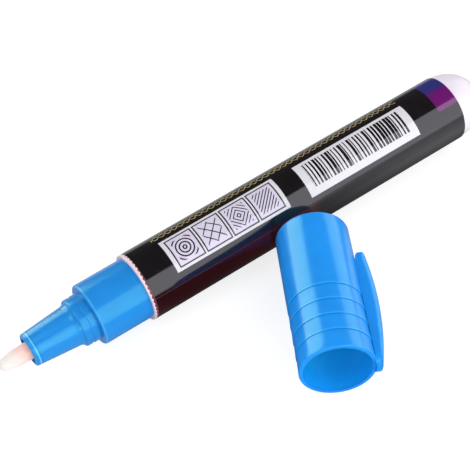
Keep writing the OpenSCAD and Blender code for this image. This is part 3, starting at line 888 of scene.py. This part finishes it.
def clip_shell(cap):
    """The bowed clip, on a grid of stations along the cap and points round its section.

    Its outer face is a circle round the bow's middle whose radius shrinks by edge - sqrt(edge^2 - t^2) where
    y lies t past the start of the edge's rounding, which takes up a share of the clip's height at most.
    Ellipses round off its tip and its nose, seen from the side, and its four corners in plan. At the tip the
    face drops by r - r sqrt(1 - x^2), with x from 0 to 1 over the rounding. The ellipses are a little larger
    than their run, so their ends stay blunt. Its inner face follows the slit's cylinder up to the bridge,
    then a cylinder inside the cap's wall, then the underside of the round nose.
    """
    half, length, corner = cap.clip_w / 2, CAP_LEN - cap.clip_setback, cap.clip_corner
    slit, root = CAP_R + cap.clip_gap, (CAP_BORE_R + CAP_R) / 2
    blunt, edge_share, margin = 1.01, 0.6, 0.02 * MM
    middle = CAP_R + cap.clip_height - cap.clip_bow

    def bow(s, inside):
        return middle + np.sqrt((cap.clip_bow - inside) ** 2 - (s - cap.clip_peak) ** 2)

    def dome(s, at, r, run):
        return r * np.sqrt(np.clip(blunt ** 2 - ((s - at) / run) ** 2, 0, None))

    start, bridge, nose = -cap.tip_reach, length - cap.bridge, length - cap.nose_run
    tip = start + cap.tip_run
    near = max(cap.tip_corner, cap.tip_run)
    runs = (
        start + near * (1 - np.cos(np.linspace(0, math.pi / 2, 16))),
        np.linspace(start + near, bridge, 60)[1:],
        np.linspace(bridge, nose, 24),
        nose + cap.nose_run * np.sin(np.linspace(0, math.pi / 2, 32)))
    s = np.concatenate(runs)
    run = np.repeat([0, 0, 1, 2], [len(part) for part in runs])
    tip_cut = (start - s) / cap.tip_corner + 1
    nose_cut = (s - length) / cap.nose_corner + 1
    cut = corner * np.clip(np.maximum(tip_cut, nose_cut), 0, 1)
    wide = half - corner + np.sqrt(corner ** 2 - cut ** 2)
    under = bow(nose, cap.nose_round) - dome(s, nose, cap.nose_round, cap.nose_run)
    drop = blunt * cap.tip_round - dome(np.minimum(s, tip), tip, cap.tip_round, cap.tip_run)
    spare = bow(s, 0) - drop - np.choose(run, [slit + 0 * s, root + 0 * s, under]) - margin
    edge = np.minimum(cap.clip_edge, edge_share * spare)
    y = wide[:, None] * np.sin(np.linspace(-math.pi / 2, math.pi / 2, 41))
    station, part = s[:, None] + 0 * y, run[:, None] + np.zeros(y.shape, int)
    edge = edge[:, None] + 0 * y
    past = np.clip(np.abs(y) - half + edge, 0, edge)
    outer = bow(station, edge - np.sqrt(edge ** 2 - past ** 2)) - drop[:, None]
    over = bow(nose, cap.nose_round) + dome(station, nose, cap.nose_round, cap.nose_run)
    outer = np.where(part == 2, np.minimum(outer, over), outer)
    free = slit - np.clip(cap.lip_round - station, 0, cap.lip_round)
    inner = np.choose(part, [np.sqrt(free ** 2 - y ** 2), np.sqrt(root ** 2 - y ** 2), under[:, None] + 0 * y])
    height = np.hstack([outer, inner[:, ::-1]])
    y = np.hstack([y, y[:, ::-1]])
    station = np.hstack([station, station[:, ::-1]])
    lean = math.pi / 2 + cap.clip_roll
    out = math.cos(lean) * CAP.up + math.sin(lean) * CAP.side
    across = math.cos(lean) * CAP.side - math.sin(lean) * CAP.up
    points = CAP.start + station[..., None] * CAP.along + height[..., None] * out + y[..., None] * across
    return shell(capped(points))


class CapOperator(bpy.types.Operator):
    """Turns the blue cap with its grip rings and mouth, adds its bowed clip, and sets the liner inside"""

    bl_idname = "paint_marker.cap"
    bl_label = "Cap and Liner"

    def execute(self, context):
        cap = settings().cap
        room = cap.liner_r + settings().pen.press
        rings = cap.grip_first + cap.grip_pitch * np.arange(GRIP_RINGS)
        steps = np.column_stack([np.tile([CAP_R - cap.grip_step, CAP_R], GRIP_RINGS), np.repeat(rings, 2)])
        lip = CAP_R - cap.lip_round
        profile = outline(
            [[0, LINER_TOP], [room, LINER_TOP], [room, CAP_BORE_LEN], [CAP_BORE_R, CAP_BORE_LEN], [CAP_BORE_R, 0]],
            arc([lip, cap.lip_round], cap.lip_round, -90, 0),
            steps,
            arc([CAP_R - cap.end_round, CAP_LEN - cap.end_round], cap.end_round, 0, 90),
            [0, CAP_LEN])
        body = turned(CAP, graded(profile, 2 * MM))
        make_piece("cap_with_clip", [body, clip_shell(cap)], cap_plastic(), "cap", ["cap_shell"])
        inside = cap.liner_r - cap.liner_wall
        cup = outline(
            [[0, LINER_TOP - cap.liner_end], [inside, LINER_TOP - cap.liner_end], [inside, LINER_MOUTH]],
            [[cap.liner_r, LINER_MOUTH], [cap.liner_r, LINER_TOP], [0, LINER_TOP]])
        make_piece("cap_inner_liner", [turned(CAP, graded(cup, 2 * MM), 160)], liner_plastic(), "cap", ["cap_liner"])
        return {"FINISHED"}


class SpringOperator(bpy.types.Operator):
    """Winds the valve's spring, which the nib presses towards its retainer"""

    bl_idname = "paint_marker.spring"
    bl_label = "Valve Spring"

    def execute(self, context):
        pen = settings().pen
        wound = coil(PEN, SPRING_R - pen.wire, pen.wire, SPRING_FRONT, SPRING_REAR, pen.turns)
        spring = make_piece("coil_spring", [wound], steel("drawn_steel_wire"), "pen", ["valve_spring"])
        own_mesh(spring)
        return {"FINISHED"}


class ValveOperator(bpy.types.Operator):
    """Gives the valve and the mixing ball inside the barrel their finishes"""

    bl_idname = "paint_marker.valve"
    bl_label = "Valve and Ball"

    def execute(self, context):
        clear = clear_plastic()
        finishes = {"valve_body": clear, "spring_retainer": clear, "valve_stem": stem_plastic(),
                    "mixing_ball": steel("bright_ball_steel")}
        for node, finish in finishes.items():
            frame["nodes"][node].material_slots[0].material = finish
        return {"FINISHED"}


# Stage


# Name, heading and elevation in degrees, distance, width and height in metres, and power in watts
SOFTBOXES = (
    ("front_softbox", -61, 28, 0.7, 0.98, 0.78, 5.3),
    ("back_softbox", 105, 22, 0.7, 0.46, 0.54, 2.9),
    ("side_softbox", 14, 15, 0.8, 0.5, 0.42, 1.25),
    ("fill_softbox", -118, 17, 0.8, 0.8, 0.65, 2.0),
    ("top_softbox", 180, 70, 0.8, 0.4, 0.4, 1.2),
    ("left_softbox", 175, 20, 0.8, 0.55, 0.42, 1.0),
    ("low_strip", -141, 6, 0.8, 0.3, 0.14, 0.6),
)


def softbox(name, heading, elevation, distance, wide, high, power, target):
    """An area lamp that stands round the target at a heading and an elevation in degrees, and faces it."""
    a, e = math.radians(heading), math.radians(elevation)
    away = Vector((math.cos(e) * math.cos(a), math.cos(e) * math.sin(a), math.sin(e)))
    data = bpy.data.lights.new(name, "AREA")
    data.shape, data.size, data.size_y, data.energy = "RECTANGLE", wide, high, power
    lamp = bpy.data.objects.new(name, data)
    lamp.matrix_world = Matrix.Translation(target + away * distance) @ away.to_track_quat("Z", "Y").to_matrix().to_4x4()
    bpy.context.scene.collection.objects.link(lamp)


class StageOperator(bpy.types.Operator):
    """Lays the pale floor, sets the lamps and the surroundings, and points the camera"""

    bl_idname = "paint_marker.stage"
    bl_label = "Stage"

    def execute(self, context):
        scene = context.scene
        scene.view_settings.view_transform = "Standard"
        self.lay_floor(scene)
        self.surround(scene)
        middle = Vector((0, 0.01, 0.008))
        for box in SOFTBOXES:
            softbox(*box, middle)
        self.point_camera(scene)
        return {"FINISHED"}

    def lay_floor(self, scene):
        """A wide square at the table's height, which the camera sees a little paler than its lit colour.

        Gloss sees a level of its own: bright before the pen's rear half, faint before its front half and a
        little brighter before its nib, and bright just behind the pen, from where it fades into the distance.
        """
        far, sunk = 3.0, 0.00002
        x, y = np.meshgrid([-far, far], [-far, far])
        mesh = bpy.data.meshes.new("pale_floor")
        mesh.from_pydata(np.column_stack([x.ravel(), y.ravel(), np.full(4, -sunk)]).tolist(), [], [(0, 1, 3, 2)])
        floor = bpy.data.objects.new("pale_floor", mesh)
        scene.collection.objects.link(floor)
        finish = Finish("pale_floor")
        tree = finish.tree
        path = finish.add("ShaderNodeLightPath").node.outputs
        colour = finish.mix(path["Is Camera Ray"], (0.8, 0.8, 0.8), (0.4, 0.4, 0.4))
        matte = finish.add("ShaderNodeBsdfDiffuse", {"Color": colour})
        glow = finish.add("ShaderNodeEmission", {"Strength": finish.times(path["Is Camera Ray"], 0.75)})
        lit = finish.add("ShaderNodeAddShader", enumerate((matte, glow)))
        where = finish.add("ShaderNodeSeparateXYZ", {0: finish.place()}).node.outputs
        near = finish.ease(where["Y"], 0.004, 0.015, 1.0, 0.08)
        rear = finish.times(near, finish.ease(where["X"], 0.0, 0.055))
        level = finish.math("ADD", rear, finish.ease(where["X"], -0.05, -0.02, 0.4, 0.05))
        behind = finish.both(finish.ease(where["Y"], 0.03, 0.05, 0.05, 0.65),
                             finish.ease(where["Y"], 0.05, 0.25, 1.0, 0.15))
        level = finish.math("MAXIMUM", level, behind)
        dim = finish.add("ShaderNodeEmission", {"Strength": level})
        seen = finish.add("ShaderNodeMixShader", {0: path["Is Glossy Ray"], 1: lit, 2: dim})
        tree.links.new(seen, tree.nodes["Material Output"].inputs["Surface"])
        tree.nodes.remove(finish.shader)
        mesh.materials.append(finish.material)

    def surround(self, scene):
        """Even light from all round for matte surfaces, a dark room in the gloss, and a pale wall for the camera."""
        world = bpy.data.worlds.new("studio")
        scene.world = world
        world.use_nodes = True
        tree = world.node_tree
        path = tree.nodes.new("ShaderNodeLightPath")
        gloss, level = tree.nodes.new("ShaderNodeMapRange"), tree.nodes.new("ShaderNodeMapRange")
        tree.links.new(path.outputs["Is Glossy Ray"], gloss.inputs[0])
        gloss.inputs[3].default_value, gloss.inputs[4].default_value = 0.26, 0.1
        tree.links.new(path.outputs["Is Camera Ray"], level.inputs[0])
        tree.links.new(gloss.outputs[0], level.inputs[3])
        level.inputs[4].default_value = 0.82
        tree.links.new(level.outputs[0], tree.nodes["Background"].inputs["Strength"])
        tree.nodes["Background"].inputs["Color"].default_value = (1, 1, 1, 1)

    def point_camera(self, scene):
        """A long lens that looks down on the table, with its focal length and its image's width in pixels."""
        heading, tilt, roll, distance = 1.084, 0.851, 0.151, 0.30483
        focal, image = 1400, 470
        aim = Vector(PEN.start) + Vector((0.02494, -0.001175, -0.00002))
        forward = Vector((math.cos(tilt) * math.cos(heading), math.cos(tilt) * math.sin(heading), -math.sin(tilt)))
        right = forward.cross(Vector((0, 0, 1))).normalized()
        down = forward.cross(right)
        across = right * math.cos(roll) + down * math.sin(roll)
        below = down * math.cos(roll) - right * math.sin(roll)
        data = bpy.data.cameras.new("camera")
        data.sensor_width, data.lens = 36, 36 * focal / image
        data.clip_start, data.clip_end = 0.01, 20
        camera = bpy.data.objects.new("camera", data)
        turn = Matrix((across, -below, -forward)).transposed().to_4x4()
        camera.matrix_world = Matrix.Translation(aim - forward * distance) @ turn
        scene.collection.objects.link(camera)
        scene.camera = camera


class MarkerPanel(bpy.types.Panel):
    """Lists the marker's pieces and settings in the sidebar"""

    bl_idname = "VIEW3D_PT_paint_marker"
    bl_label = "Paint Marker"
    bl_space_type = "VIEW_3D"
    bl_region_type = "UI"
    bl_category = "Paint Marker"

    def draw(self, context):
        for operator in OPERATORS:
            self.layout.operator(operator.bl_idname)
        chosen = context.scene.paint_marker
        for group in (chosen.pen, chosen.cap, chosen.colours, chosen.print):
            box = self.layout.box()
            for name in group.__annotations__:
                box.prop(group, name)


OPERATORS = (FilmOperator, BarrelOperator, FrontOperator, NibOperator, CapOperator, SpringOperator, ValveOperator,
             StageOperator)
CLASSES = (PenSizes, CapSizes, Colours, Print, MarkerSettings, *OPERATORS, MarkerPanel)


def register():
    for cls in CLASSES:
        bpy.utils.register_class(cls)
    bpy.types.Scene.paint_marker = PointerProperty(type=MarkerSettings)


def unregister():
    del bpy.types.Scene.paint_marker
    for cls in reversed(CLASSES):
        bpy.utils.unregister_class(cls)


def main():
    register()
    bpy.ops.paint_marker.film()
    bpy.ops.paint_marker.barrel()
    bpy.ops.paint_marker.front()
    bpy.ops.paint_marker.nib()
    bpy.ops.paint_marker.cap()
    bpy.ops.paint_marker.spring()
    bpy.ops.paint_marker.valve()
    bpy.ops.paint_marker.stage()


if __name__ == "__main__":
    main()
